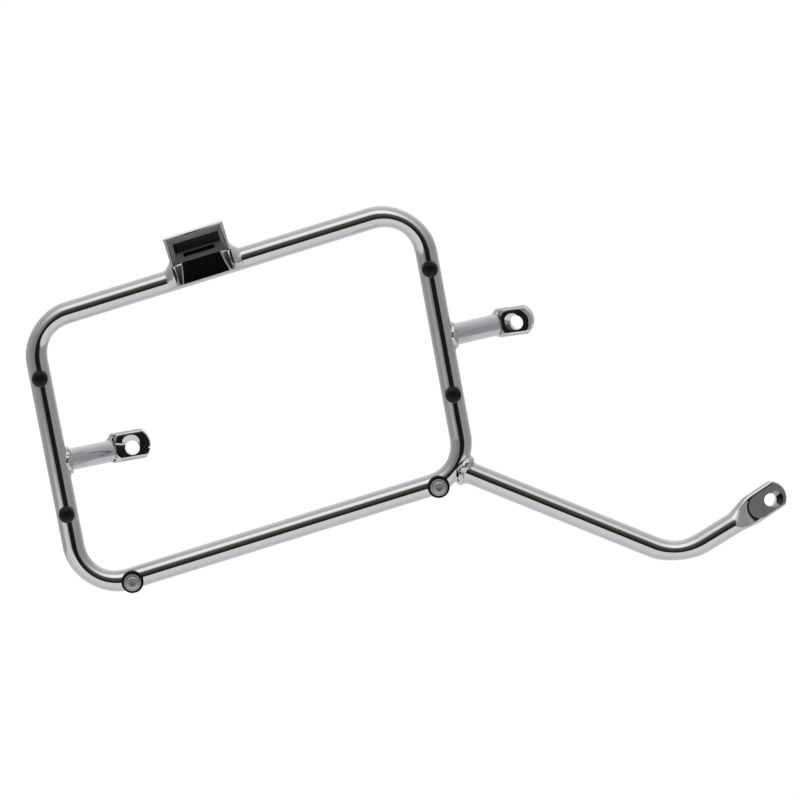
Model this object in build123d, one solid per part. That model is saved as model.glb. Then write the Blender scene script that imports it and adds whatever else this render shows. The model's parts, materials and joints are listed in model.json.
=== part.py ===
from build123d import *
from math import cos, pi, radians, sin, sqrt, tan
import os

# Pannier frame for one side of a motorcycle: a chromed tube loop that carries a side case,
# two stays and one strut that bolt it to the bike, and a latch catch on its top rail.
# Sizes are in millimetres. +X points forward, +Y towards the bike, +Z up; the case hangs on -Y.

# Tube stock
TUBE_DIAMETER = 18.0
TUBE_WALL = 2.0
LOOP_BEND_RADIUS = 36.0

# Loop, measured between the corners of its centre line
LOOP_LENGTH = 330.2
LOOP_HEIGHT = 225.6
LOOP_RAKE = 26.0

# Stays: short tubes from the uprights, cranked to a pressed eye that is turned away from the bike
STAY_HEIGHTS = {"rear": 110.5, "front": 114.7}
STAY_RUNS = {"rear": 45.4, "front": 48.3}
STAY_DROPS = {"rear": 5.3, "front": 3.8}
STAY_DEPTH = 36.0
STAY_EYE_TURNS = {"rear": 4.0, "front": 19.0}
STAY_EYE_REACH = 16.0
STAY_EYE_BORE = 12.0
STAY_PRESS_LENGTH = 5.5

# Strut: long tube from the lower front corner, bent once, with a pressed eye turned towards the bike
STRUT_RUN = 145.9
STRUT_FALL = 118.9
STRUT_BEND_RADIUS = 47.0
STRUT_RISE_ANGLE = 14.5
STRUT_LEG = 71.0
STRUT_EYE_REACH = 18.0
STRUT_EYE_TURN = 10.0
STRUT_EYE_BORE = 11.0
STRUT_PRESS_LENGTH = 14.0
STRUT_EYE_SET_BACK = 4.0

# Pressed eyes: the flat stands a little higher than its bore, which keeps to the tube's centre line
EYE_THICKNESS = 7.0
EYE_TIP_RADIUS = 14.3
EYE_RAISE = 1.0

# Dished rim round each eye's bore, on the side that the bolt head sits on
DISH_WIDTH = 1.8
DISH_DEPTH = 1.1

# Weld beads
WELD_BEAD_RADIUS = 3.6
WELD_STAND_OFF = 1.0
WELD_FLANK_INSET = 0.6
WELD_FLANK_REACH = 4.0
COLLAR_LENGTH = 7.0
COLLAR_LEG = 3.4
COLLAR_RAISE = 3.2

# Buffers on the uprights: rubber domes with a barbed plug through the tube wall
BUFFER_HEIGHTS = {
    "rear_lower": 68.5,
    "rear_upper": 182.0,
    "front_lower": 68.5,
    "front_upper": 173.0,
}
BUFFER_DIAMETER = 13.4
BUFFER_PROUD = 9.0
BUFFER_CROWN_RADIUS = 4.5
BUFFER_NECK_DIAMETER = 6.0
BUFFER_BARB_DIAMETER = 8.4
BUFFER_BARB_LENGTH = 5.0

# Support discs on the bottom rail, with their screws and rivet nuts
DISC_REAR_INSET = 42.5
DISC_FRONT_INSET = 25.7
DISC_DIAMETER = 17.5
DISC_PROUD = 10.5
DISC_SKIRT = 6.0
DISC_EDGE_RADIUS = 1.4
SCREW_DIAMETER = 6.0
SCREW_LENGTH = 20.0
SCREW_HEAD_DIAMETER = 10.8
SCREW_HEAD_HEIGHT = 2.8
SCREW_RIM_HEIGHT = 0.6
SCREW_LAND_DIAMETER = 6.8
SCREW_DOME_RADIUS = 4.0
SCREW_SOCKET_WIDTH = 4.0
SCREW_SOCKET_DEPTH = 2.0
WASHER_DIAMETER = 13.9
WASHER_THICKNESS = 1.2
WASHER_EDGE_RADIUS = 0.4
NUT_BODY_DIAMETER = 9.0
NUT_FLANGE_DIAMETER = 12.0
NUT_FLANGE_THICKNESS = 1.0
NUT_LENGTH = 13.0
NUT_COLLAR_DIAMETER = 11.0
NUT_COLLAR_LENGTH = 4.0

# Catch on the top rail: a metal housing lined by a guide block, with a flared mouth and the latch slot
CATCH_FORWARD = 1.8
CATCH_WIDTH = 50.2
CATCH_TOP = 34.4
CATCH_TOP_FRONT = 8.0
CATCH_FOOT_FRONT = 13.6
CATCH_FOOT = 4.8
CATCH_BACK = 5.4
CATCH_WALL = 2.6
CATCH_ROOF = 1.2
MOUTH_FLOOR_FRONT = 12.4
MOUTH_FLOOR_BACK = 20.8
MOUTH_ROOF_BACK = 26.6
MOUTH_BACK = 1.0
MOUTH_BACK_WIDTH = 37.0
RAMP_TOP_WIDTH = 31.0
RAMP_FOOT_WIDTH = 39.0
RAMP_STAND_OFF = 2.4
SLOT_WIDTH = 25.8
SLOT_HEIGHT = 3.6
SLOT_DEPTH = 5.0
SLOT_PLACE = 0.58

# Fits
CLEARANCE = 0.05
SCREW_CLEARANCE = 0.2

TUBE_RADIUS = TUBE_DIAMETER / 2
BORE_RADIUS = TUBE_RADIUS - TUBE_WALL
FORWARD = Vector(1, 0, 0)
TOWARDS_BIKE = Vector(0, 1, 0)
UP = Vector(0, 0, 1)
FROM_BASE = (Align.CENTER, Align.CENTER, Align.MIN)
HALF_TURN = 180.0
# Size of a cutter that passes right through any piece
THROUGH = 4 * TUBE_DIAMETER

# Corners of the loop's centre line, from the rear lower one round to the rear upper one
CORNERS = [
    Vector(0, 0, 0),
    Vector(LOOP_LENGTH, 0, 0),
    Vector(LOOP_LENGTH + LOOP_RAKE, 0, LOOP_HEIGHT),
    Vector(LOOP_RAKE, 0, LOOP_HEIGHT),
]
UPRIGHT = (CORNERS[3] - CORNERS[0]).normalized()
SQUARE_OFF = TOWARDS_BIKE.cross(UPRIGHT)


def section_plane(origin, along, across):
    """Plane square to a run, with its x axis as near to `across` as it can lie."""
    along = along.normalized()
    across = across - along * across.dot(along)
    return Plane(origin=origin, x_dir=across.normalized(), z_dir=along)


def rod(start, end, radius):
    """Solid round bar between two points."""
    run = end - start
    return extrude(Plane(origin=start, z_dir=run.normalized()) * Circle(radius), amount=run.length)


def bend_arc(before, corner, after, radius):
    """Arc that rounds one corner of a centre line."""
    back = (before - corner).normalized()
    ahead = (after - corner).normalized()
    half_angle = radians(back.get_angle(ahead)) / 2
    tangent = radius / tan(half_angle)
    middle = corner + (back + ahead).normalized() * (radius / sin(half_angle) - radius)
    return ThreePointArc(corner + back * tangent, middle, corner + ahead * tangent)


def bent_bar(arc, radius):
    """Solid round bar along an arc."""
    return sweep(Plane(origin=arc @ 0, z_dir=arc % 0) * Circle(radius), path=arc)


LOOP_ARCS = [
    bend_arc(CORNERS[i - 1], CORNERS[i], CORNERS[(i + 1) % 4], LOOP_BEND_RADIUS)
    for i in range(4)
]


def loop_bar(radius):
    """The loop as a solid bar of the given radius."""
    bar = Part()
    for i, arc in enumerate(LOOP_ARCS):
        following = LOOP_ARCS[(i + 1) % 4]
        bar += bent_bar(arc, radius)
        bar += rod(arc @ 1, following @ 0, radius)
    return bar


def on_upright(side, height):
    """Point of an upright's centre line at a height above the bottom rail."""
    foot = CORNERS[0] if side == "rear" else CORNERS[1]
    return foot + UPRIGHT * (height / UPRIGHT.Z)


# Pressed tube ends

def round_outline(plane, radius):
    """Circle in four arcs, so that it lofts to the four edges of a pressed section."""
    corner = radius * sqrt(0.5)
    points = [(corner, -corner), (corner, corner), (-corner, corner), (-corner, -corner)]
    crowns = [(radius, 0), (0, radius), (-radius, 0), (0, -radius)]
    arcs = [ThreePointArc(points[i], crowns[i], points[(i + 1) % 4]) for i in range(4)]
    return plane * make_face(arcs)


def pressed_outline(plane, width, thickness):
    """Flat section with full-round edges."""
    edge = thickness / 2
    flat = width / 2 - edge
    outline = [
        ThreePointArc((flat, -edge), (flat + edge, 0), (flat, edge)),
        Line((flat, edge), (-flat, edge)),
        ThreePointArc((-flat, edge), (-flat - edge, 0), (-flat, -edge)),
        Line((-flat, -edge), (flat, -edge)),
    ]
    return plane * make_face(outline)


def pressed_width():
    """Width of the tube when it is pressed flat, with its girth kept."""
    return EYE_THICKNESS + pi / 2 * (TUBE_DIAMETER - EYE_THICKNESS)


def pressed_end(tube_plane, eye_plane, reach, inset):
    """Bar that runs from round to flat and on to the tip, drawn in by `inset` on every side."""
    raised = eye_plane.move(Location(eye_plane.x_dir * EYE_RAISE))
    flat = pressed_outline(raised, pressed_width() - 2 * inset, EYE_THICKNESS - 2 * inset)
    shoulder = loft([round_outline(tube_plane, TUBE_RADIUS - inset), flat])
    return shoulder + extrude(flat, amount=reach + EYE_TIP_RADIUS)


def eye_cutter(eye_plane, reach, bore):
    """Rounded tip, bore and dished rim of an eye, to be cut from its pressed end."""
    centre = eye_plane.origin + eye_plane.z_dir * reach
    across = Plane(origin=centre, x_dir=eye_plane.z_dir, z_dir=eye_plane.y_dir)
    beyond = Pos(THROUGH / 2, 0, 0) * Box(THROUGH, THROUGH, THROUGH)
    beyond -= Pos(0, EYE_RAISE, 0) * Cylinder(EYE_TIP_RADIUS, THROUGH)
    drill = Cylinder(bore / 2, THROUGH)
    dish = Cone(bore / 2, bore / 2 + DISH_WIDTH, DISH_DEPTH)
    return across * (beyond + drill + Pos(0, 0, (EYE_THICKNESS - DISH_DEPTH) / 2) * dish)


# Stays

def stay_root(side):
    """Point of the upright's centre line that the stay starts from."""
    return on_upright(side, STAY_HEIGHTS[side])


def stay_eye_plane(side):
    """Section plane where the stay's eye begins; its y axis faces away from the bike."""
    shoulder = stay_root(side) + SQUARE_OFF * STAY_RUNS[side] - UP * STAY_DROPS[side]
    shoulder += TOWARDS_BIKE * STAY_DEPTH
    turn = radians(STAY_EYE_TURNS[side])
    ahead = SQUARE_OFF * cos(turn) - TOWARDS_BIKE * sin(turn)
    return Plane(origin=shoulder, x_dir=UPRIGHT, z_dir=ahead)


def stay_eye(side):
    """Centre of the stay's eye."""
    plane = stay_eye_plane(side)
    return plane.origin + plane.z_dir * STAY_EYE_REACH


def stay_axis(side):
    """Direction of the stay's round tube."""
    return (stay_eye_plane(side).origin - stay_root(side)).normalized()


def stay_bar(side, inset):
    """Stay as a solid bar, drawn in by `inset`."""
    eye_plane = stay_eye_plane(side)
    along = stay_axis(side)
    press_start = eye_plane.origin - along * STAY_PRESS_LENGTH
    tube_plane = section_plane(press_start, along, eye_plane.x_dir)
    bar = rod(stay_root(side), press_start, TUBE_RADIUS - inset)
    return bar + pressed_end(tube_plane, eye_plane, STAY_EYE_REACH, inset)


def stay(side, loop_outer):
    """Hollow stay, coped to the upright, with its eye pressed and bored."""
    cutter = eye_cutter(stay_eye_plane(side), STAY_EYE_REACH, STAY_EYE_BORE)
    return stay_bar(side, 0) - stay_bar(side, TUBE_WALL) - loop_outer - cutter


# Strut

def strut_root():
    """Middle of the loop's lower front bend."""
    return LOOP_ARCS[1] @ 0.5


def strut_bend():
    """Corner of the strut's centre line."""
    return CORNERS[1] + Vector(STRUT_RUN, 0, -STRUT_FALL)


def strut_leg_direction():
    """Direction of the strut past its bend."""
    return Vector(cos(radians(STRUT_RISE_ANGLE)), 0, sin(radians(STRUT_RISE_ANGLE)))


def strut_eye_plane():
    """Section plane where the strut's eye begins, set back and turned towards the bike."""
    leg = strut_leg_direction()
    ahead = leg.rotate(Axis.Z, STRUT_EYE_TURN)
    return section_plane(strut_bend() + leg * STRUT_LEG + TOWARDS_BIKE * STRUT_EYE_SET_BACK, ahead, UP)


def strut_eye():
    """Centre of the strut's eye."""
    plane = strut_eye_plane()
    return plane.origin + plane.z_dir * STRUT_EYE_REACH


def strut_bar(inset):
    """Strut as a solid bar, drawn in by `inset`."""
    radius = TUBE_RADIUS - inset
    leg = strut_leg_direction()
    eye_plane = strut_eye_plane()
    press_start = strut_bend() + leg * (STRUT_LEG - STRUT_PRESS_LENGTH)
    tube_plane = section_plane(press_start, leg, eye_plane.x_dir)
    arc = bend_arc(strut_root(), strut_bend(), press_start, STRUT_BEND_RADIUS)
    bar = rod(strut_root(), arc @ 0, radius) + bent_bar(arc, radius) + rod(arc @ 1, press_start, radius)
    return bar + pressed_end(tube_plane, eye_plane, STRUT_EYE_REACH, inset)


def strut(loop_outer):
    """Hollow strut, coped to the loop's bend, with its eye pressed and bored."""
    cutter = eye_cutter(strut_eye_plane(), STRUT_EYE_REACH, STRUT_EYE_BORE)
    return strut_bar(0) - strut_bar(TUBE_WALL) - loop_outer - cutter


# Weld beads

def weld_bead(root, tip, main, loop_outer):
    """Bead along the saddle where a branch tube meets another, as two half ellipses with ball ends."""
    along = (tip - root).normalized()
    side = along.cross(main).normalized()
    lengthwise = side.cross(along).normalized()
    flank = TUBE_RADIUS - WELD_FLANK_INSET
    crown = TUBE_RADIUS + WELD_STAND_OFF
    centre = root + along * WELD_FLANK_REACH
    bead = Part()
    for way in (1, -1):
        rise = lengthwise * (way * crown) + along * (crown - WELD_FLANK_REACH)
        plane = Plane(origin=centre, x_dir=side, z_dir=side.cross(rise))
        path = plane * EllipticalCenterArc((0, 0), flank, rise.length, start_angle=0, arc_size=HALF_TURN)
        bead += sweep(Plane(origin=path @ 0, z_dir=path % 0) * Circle(WELD_BEAD_RADIUS), path=path)
        bead += Pos(centre + side * (way * flank)) * Sphere(WELD_BEAD_RADIUS)
    return bead - rod(root, tip, TUBE_RADIUS) - loop_outer


# Buffers

def facing_out(point):
    """Plane at a point of a tube's centre line that faces away from the bike."""
    return Plane(origin=point, x_dir=FORWARD, z_dir=TOWARDS_BIKE * -1)


def buffer_seat(name):
    """Plane of a buffer, on its upright."""
    side = name.split("_")[0]
    return facing_out(on_upright(side, BUFFER_HEIGHTS[name]))


def buffer(name, loop_outer, loop_bore):
    """Dome on the crown of the tube, with a neck through its wall and a barb inside."""
    head_radius = BUFFER_DIAMETER / 2
    head = Cylinder(head_radius, TUBE_RADIUS + BUFFER_PROUD, align=FROM_BASE)
    head = fillet(head.edges().group_by(Axis.Z)[-1], BUFFER_CROWN_RADIUS)
    neck_radius = BUFFER_NECK_DIAMETER / 2
    barb_start = BORE_RADIUS - BUFFER_BARB_LENGTH
    neck = Pos(0, 0, barb_start) * Cylinder(
        neck_radius, TUBE_RADIUS - barb_start, align=FROM_BASE)
    barb = Pos(0, 0, barb_start) * Cone(
        neck_radius, BUFFER_BARB_DIAMETER / 2, BUFFER_BARB_LENGTH,
        align=FROM_BASE)
    seat = buffer_seat(name)
    return (seat * head - loop_outer) + (seat * neck) + ((seat * barb) & loop_bore)


# Support discs

def disc_seats():
    """Planes of the rear and front support discs, on the bottom rail."""
    rear = CORNERS[0] + FORWARD * DISC_REAR_INSET
    front = CORNERS[1] - FORWARD * DISC_FRONT_INSET
    return [facing_out(rear), facing_out(front)]


def support_disc(seat, loop_outer):
    """Bush that sits astride the rail, with a hole for its screw and a recess for the nut's flange."""
    bush = Pos(0, 0, TUBE_RADIUS - DISC_SKIRT) * Cylinder(
        DISC_DIAMETER / 2, DISC_SKIRT + DISC_PROUD, align=FROM_BASE)
    bush = fillet(bush.edges().group_by(Axis.Z)[-1], DISC_EDGE_RADIUS)
    bush -= Cylinder(SCREW_DIAMETER / 2 + SCREW_CLEARANCE, THROUGH)
    recess = TUBE_RADIUS + NUT_FLANGE_THICKNESS + CLEARANCE
    bush -= Cylinder(NUT_FLANGE_DIAMETER / 2 + SCREW_CLEARANCE, 2 * recess)
    return seat * bush - loop_outer


def disc_washer(seat):
    """Plain washer between the disc and its screw's head."""
    washer = Cylinder(WASHER_DIAMETER / 2, WASHER_THICKNESS, align=FROM_BASE)
    washer = fillet(washer.edges().group_by(Axis.Z)[-1], WASHER_EDGE_RADIUS)
    washer -= Cylinder(SCREW_DIAMETER / 2 + SCREW_CLEARANCE, THROUGH)
    return seat * Pos(0, 0, TUBE_RADIUS + DISC_PROUD) * washer


def disc_screw(seat):
    """Low button-head screw with a hexagon socket."""
    head = SCREW_HEAD_DIAMETER / 2
    shank = SCREW_DIAMETER / 2
    land = SCREW_LAND_DIAMETER / 2
    dome = RadiusArc((head, SCREW_RIM_HEIGHT), (land, SCREW_HEAD_HEIGHT), -SCREW_DOME_RADIUS)
    sides = Polyline(
        (land, SCREW_HEAD_HEIGHT), (0, SCREW_HEAD_HEIGHT), (0, -SCREW_LENGTH), (shank, -SCREW_LENGTH),
        (shank, 0), (head, 0), (head, SCREW_RIM_HEIGHT))
    blank = revolve(Plane.XZ * make_face(sides + dome), Axis.Z)
    floor = Plane.XY.offset(SCREW_HEAD_HEIGHT - SCREW_SOCKET_DEPTH)
    socket = floor * RegularPolygon(SCREW_SOCKET_WIDTH / 2, 6, major_radius=False)
    screw = blank - extrude(socket, amount=SCREW_SOCKET_DEPTH)
    return seat * Pos(0, 0, TUBE_RADIUS + DISC_PROUD + WASHER_THICKNESS) * screw


def rivet_nut(seat, loop_outer, loop_bore):
    """Flanged nut set in the rail's front wall, its collar crimped against the inside of the wall."""
    top = TUBE_RADIUS + NUT_FLANGE_THICKNESS
    body = Pos(0, 0, top - NUT_LENGTH) * Cylinder(NUT_BODY_DIAMETER / 2, NUT_LENGTH, align=FROM_BASE)
    flange = Cylinder(NUT_FLANGE_DIAMETER / 2, top, align=FROM_BASE)
    collar = Pos(0, 0, BORE_RADIUS - NUT_COLLAR_LENGTH) * Cylinder(
        NUT_COLLAR_DIAMETER / 2, NUT_COLLAR_LENGTH, align=FROM_BASE)
    bore = Cylinder(SCREW_DIAMETER / 2 + CLEARANCE, THROUGH)
    blank = seat * body + (seat * flange - loop_outer) + ((seat * collar) & loop_bore)
    return blank - seat * bore


# Catch

DISC_MIDDLE = (LOOP_LENGTH + DISC_REAR_INSET - DISC_FRONT_INSET) / 2
CATCH_CENTRE = Vector(DISC_MIDDLE + CATCH_FORWARD, 0, LOOP_HEIGHT)
MOUTH_WIDTH = CATCH_WIDTH - 2 * CATCH_WALL
GUIDE_BACK = CATCH_BACK - CATCH_WALL
RAMP_FRONT = TUBE_RADIUS + RAMP_STAND_OFF


def catch_block(points, width):
    """Block with a side profile of (y, z) points from the rail's centre line."""
    face = Plane.YZ * make_face(Polyline(points, close=True))
    return Pos(CATCH_CENTRE) * extrude(face, amount=width / 2, both=True)


def upright_slice(y, floor, roof, width):
    """Rectangle across the catch at a depth."""
    middle = CATCH_CENTRE + Vector(0, y, (floor + roof) / 2)
    return Plane(origin=middle, x_dir=FORWARD, z_dir=TOWARDS_BIKE) * Rectangle(width, roof - floor)


def level_slice(z, back, back_width, front, front_width):
    """Trapezium across the catch at a height."""
    corners = [
        (-back_width / 2, back),
        (back_width / 2, back),
        (front_width / 2, front),
        (-front_width / 2, front),
    ]
    return Plane(origin=CATCH_CENTRE + UP * z) * make_face(Polyline(corners, close=True))


def mouth():
    """Flared mouth that leads the latch tongue to the slot, carried on past the front edge."""
    front = -CATCH_FOOT_FRONT
    deep = MOUTH_BACK - front
    reach = deep / (MOUTH_BACK + CATCH_TOP_FRONT)
    floor = MOUTH_FLOOR_BACK + (MOUTH_FLOOR_FRONT - MOUTH_FLOOR_BACK) * reach
    roof = MOUTH_ROOF_BACK + (CATCH_TOP - CATCH_ROOF - MOUTH_ROOF_BACK) * reach
    width = MOUTH_BACK_WIDTH + (MOUTH_WIDTH - MOUTH_BACK_WIDTH) * reach
    return loft([
        upright_slice(front, floor, roof, width),
        upright_slice(MOUTH_BACK, MOUTH_FLOOR_BACK, MOUTH_ROOF_BACK, MOUTH_BACK_WIDTH),
    ])


def trough():
    """Flared channel in front of the ramp, below the mouth."""
    front = -2 * CATCH_FOOT_FRONT
    return loft([
        level_slice(-CATCH_FOOT, -RAMP_FRONT, RAMP_FOOT_WIDTH, front, 2 * CATCH_WIDTH),
        level_slice(MOUTH_FLOOR_FRONT, -CATCH_TOP_FRONT, RAMP_TOP_WIDTH, front, 2 * CATCH_WIDTH),
    ])


def guide_blank():
    """Guide block before its slot is cut: a lining round the mouth, with a ramp below it."""
    lining = catch_block([
        (-CATCH_TOP_FRONT, MOUTH_FLOOR_FRONT),
        (-CATCH_TOP_FRONT, CATCH_TOP - CATCH_ROOF),
        (GUIDE_BACK, CATCH_TOP - CATCH_ROOF),
        (GUIDE_BACK, MOUTH_FLOOR_FRONT),
    ], MOUTH_WIDTH) - mouth()
    ramp = loft([
        level_slice(-CATCH_FOOT, 0, RAMP_FOOT_WIDTH, -RAMP_FRONT, RAMP_FOOT_WIDTH),
        level_slice(MOUTH_FLOOR_FRONT, GUIDE_BACK, RAMP_TOP_WIDTH, -CATCH_TOP_FRONT, RAMP_TOP_WIDTH),
    ])
    return lining + ramp


def latch_slot():
    """Slot cut square into the sloping face of the guide block."""
    slope = Vector(0, MOUTH_BACK + CATCH_TOP_FRONT, MOUTH_FLOOR_BACK - MOUTH_FLOOR_FRONT)
    start = CATCH_CENTRE + Vector(0, -CATCH_TOP_FRONT, MOUTH_FLOOR_FRONT)
    inward = slope.cross(FORWARD).normalized()
    plane = Plane(origin=start + slope * SLOT_PLACE, x_dir=FORWARD, z_dir=inward)
    return extrude(plane * Rectangle(SLOT_WIDTH, SLOT_HEIGHT), amount=SLOT_DEPTH, both=True)


def catch_insert(loop_outer):
    """Guide block with its slot, seated on the rail."""
    return guide_blank() - latch_slot() - loop_outer


def catch_bracket(loop_outer):
    """Housing round the guide block, seated on the rail."""
    housing = catch_block([
        (-CATCH_FOOT_FRONT, -CATCH_FOOT),
        (-CATCH_TOP_FRONT, CATCH_TOP),
        (CATCH_BACK, CATCH_TOP),
        (CATCH_BACK, 0),
        (0, -CATCH_FOOT),
    ], CATCH_WIDTH)
    return housing - mouth() - trough() - guide_blank() - loop_outer


def catch_collar(end, loop_outer):
    """Weld run round the rail at one end of the catch, with its longer leg up the housing's side."""
    out = Vector(end, 0, 0)
    start = CATCH_CENTRE + out * (CATCH_WIDTH / 2)
    foot = Plane(origin=start + UP * COLLAR_RAISE, z_dir=out) * Circle(TUBE_RADIUS + COLLAR_LEG)
    toe = Plane(origin=start + out * COLLAR_LENGTH, z_dir=out) * Circle(TUBE_RADIUS)
    below = Pos(start - UP * (CATCH_FOOT + THROUGH / 2)) * Box(THROUGH, THROUGH, THROUGH)
    return loft([foot, toe]) - loop_outer - below


# Assembly

def build():
    """All pieces by name."""
    loop_outer = loop_bar(TUBE_RADIUS)
    loop_bore = loop_bar(BORE_RADIUS)
    seats = disc_seats()

    loop_tube = loop_outer - loop_bore
    neck_drill = Cylinder(BUFFER_NECK_DIAMETER / 2 + CLEARANCE, THROUGH, align=FROM_BASE)
    nut_drill = Cylinder(NUT_BODY_DIAMETER / 2 + CLEARANCE, THROUGH, align=FROM_BASE)
    for name in BUFFER_HEIGHTS:
        loop_tube -= buffer_seat(name) * neck_drill
    for seat in seats:
        loop_tube -= seat * nut_drill

    pieces = {"frame_loop": loop_tube}
    for side in STAY_HEIGHTS:
        pieces[side + "_stay"] = stay(side, loop_outer)
        pieces[side + "_stay_weld"] = weld_bead(
            stay_root(side), stay_eye_plane(side).origin, UPRIGHT, loop_outer)
    pieces["lower_strut"] = strut(loop_outer)
    pieces["strut_weld"] = weld_bead(strut_root(), strut_bend(), LOOP_ARCS[1] % 0.5, loop_outer)
    for name in BUFFER_HEIGHTS:
        pieces["buffer_" + name] = buffer(name, loop_outer, loop_bore)
    for side, seat in zip(STAY_HEIGHTS, seats):
        pieces["support_disc_" + side] = support_disc(seat, loop_outer)
    screws = [disc_screw(seat) for seat in seats]
    washers = [disc_washer(seat) for seat in seats]
    nuts = [rivet_nut(seat, loop_outer, loop_bore) for seat in seats]
    pieces["disc_screws"] = Compound(children=screws)
    pieces["disc_washers"] = Compound(children=washers)
    pieces["rivet_nuts"] = Compound(children=nuts)
    pieces["catch_insert"] = catch_insert(loop_outer)
    pieces["catch_bracket"] = catch_bracket(loop_outer)
    for side, end in (("rear", -1), ("front", 1)):
        pieces["catch_weld_" + side] = catch_collar(end, loop_outer)
    return pieces


# The frame's origin is the centre of the front stay's eye
os.makedirs("parts", exist_ok=True)
for name, piece in build().items():
    export_step(Pos(stay_eye("front") * -1) * piece, "parts/" + name + ".step")
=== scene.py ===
import json
from collections.abc import Callable
from dataclasses import dataclass
from functools import partial
from math import atan2, cos, hypot, pi, radians, sin, sqrt, tan

import bpy
from mathutils import Matrix, Vector, noise


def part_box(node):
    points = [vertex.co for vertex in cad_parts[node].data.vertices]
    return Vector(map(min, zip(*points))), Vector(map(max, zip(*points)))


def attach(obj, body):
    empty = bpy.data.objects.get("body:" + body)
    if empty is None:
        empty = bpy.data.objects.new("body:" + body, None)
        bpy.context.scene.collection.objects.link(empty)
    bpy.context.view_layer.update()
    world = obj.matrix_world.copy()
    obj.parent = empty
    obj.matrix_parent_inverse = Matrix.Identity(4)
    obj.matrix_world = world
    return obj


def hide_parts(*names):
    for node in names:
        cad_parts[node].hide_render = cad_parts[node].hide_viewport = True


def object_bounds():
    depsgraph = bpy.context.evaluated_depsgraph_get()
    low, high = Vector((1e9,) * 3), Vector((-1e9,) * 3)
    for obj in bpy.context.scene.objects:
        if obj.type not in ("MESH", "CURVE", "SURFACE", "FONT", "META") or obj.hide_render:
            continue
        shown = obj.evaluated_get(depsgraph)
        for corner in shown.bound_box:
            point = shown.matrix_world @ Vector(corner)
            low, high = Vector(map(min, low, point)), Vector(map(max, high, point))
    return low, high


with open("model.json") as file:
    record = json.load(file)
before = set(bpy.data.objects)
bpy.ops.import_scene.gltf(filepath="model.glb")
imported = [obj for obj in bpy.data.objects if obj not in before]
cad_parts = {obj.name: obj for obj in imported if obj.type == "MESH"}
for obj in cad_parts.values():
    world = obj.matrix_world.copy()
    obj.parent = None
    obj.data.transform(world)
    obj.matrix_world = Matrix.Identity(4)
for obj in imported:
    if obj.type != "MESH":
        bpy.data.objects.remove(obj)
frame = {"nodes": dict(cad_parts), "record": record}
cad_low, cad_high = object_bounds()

# Lengths are in metres; sizes are written in millimetres
MM = 0.001

# Tube and loop, as the frame has them
TUBE_RADIUS = 9.0 * MM
LOOP_LENGTH = 330.2 * MM
LOOP_HEIGHT = 225.6 * MM
LOOP_RAKE = 26.0 * MM
LOOP_BEND_RADIUS = 36.0 * MM
DISC_REAR_INSET = 42.5 * MM

# A bent tube is a little narrower across its bend
BEND_SQUEEZE = 0.09

# Stays and strut
STAY_HEIGHTS = {"rear": 110.5 * MM, "front": 114.7 * MM}
STAY_EYE_REACH = 16.0 * MM
STAY_EYE_BORE = 12.0 * MM
STAY_PRESS_LENGTH = 5.5 * MM
STRUT_RUN = 145.9 * MM
STRUT_FALL = 118.9 * MM
STRUT_BEND_RADIUS = 47.0 * MM
STRUT_RISE_ANGLE = radians(14.5)
STRUT_LEG = 71.0 * MM
STRUT_EYE_REACH = 18.0 * MM
STRUT_EYE_BORE = 11.0 * MM
STRUT_PRESS_LENGTH = 18.0 * MM
STRUT_SPREAD = 1.04
# Painted shade: darker grey for the strut eye's chrome inside its leaned patch
STRUT_PAINTED_SHADE = (0.30, 0.315, 0.33)
EYE_THICKNESS = 7.0 * MM
EYE_TIP_RADIUS = 14.3 * MM
EYE_RAISE = 1.0 * MM
EYE_RIM = 0.6 * MM
REAR_TIP_RADIUS = EYE_TIP_RADIUS + 0.9 * MM
REAR_RAISE = 1.9 * MM
REAR_SPREAD = 1.03
NICK_SIZE = (4 * MM, 1.3 * MM, 20 * MM)
NICK_ACROSS = -1.9 * MM

# Patch of an eye's face that leans: back and front end along the eye, radius and degrees
FRONT_LEAN = (-3 * MM, 0.0, 11 * MM, 16)
STRUT_LEAN = (-9.7 * MM, 30 * MM, 10.0 * MM, 13)
LEAN_RAISE = 0.4 * MM

# Buffers, discs and screws
BUFFER_HEIGHTS = {
    "rear_lower": 68.5 * MM,
    "rear_upper": 182.0 * MM,
    "front_lower": 68.5 * MM,
    "front_upper": 173.0 * MM,
}
BUFFER_RADIUS = 6.7 * MM
BUFFER_PROUD = 9.0 * MM
BUFFER_CROWN_RADIUS = 4.5 * MM
BUFFER_FOOT = 4 * MM
BUFFER_PIP_RADIUS = 1.2 * MM
BUFFER_PIP_HEIGHT = 0.05 * MM
DISC_RADIUS = 9.1 * MM
DISC_PROUD = 10.5 * MM
DISC_SKIRT = 6.0 * MM
DISC_EDGE_RADIUS = 1.4 * MM
DISC_TAPER = 1.9 * MM
DISC_RIM_DEPTH = 4 * MM
WASHER_RADIUS = 6.95 * MM
WASHER_THICKNESS = 1.2 * MM
WASHER_EDGE_RADIUS = 0.5 * MM
SCREW_HEAD_RADIUS = 5.4 * MM
SCREW_HEAD_HEIGHT = 2.8 * MM
SCREW_RIM_HEIGHT = 0.6 * MM
SCREW_LAND_RADIUS = 3.4 * MM
SCREW_SOCKET_RADIUS = 2.3 * MM
SCREW_SOCKET_DEPTH = 2.0 * MM
SCREW_STEPS = 8

# Catch welds
COLLAR_LENGTH = 7.0 * MM
COLLAR_LEG = 3.4 * MM
COLLAR_RAISE = 3.2 * MM
COLLAR_STEPS = 14
COLLAR_HOLLOW = 1.35
COLLAR_UNEVEN = 0.35 * MM
COLLAR_NOISE = 350

# Photograph: the picture's scale and where its middle falls on the loop
PICTURE_SIZE = 800
MM_PER_PIXEL = 0.818
RAIL_SLOPE = radians(17.25)
CAMERA_ELEVATION = radians(9.5)
CAMERA_LENS = 250.0
SENSOR_WIDTH = 36.0
PICTURE_MIDDLE = Vector((295.4, 0.0, 75.4)) * MM

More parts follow.
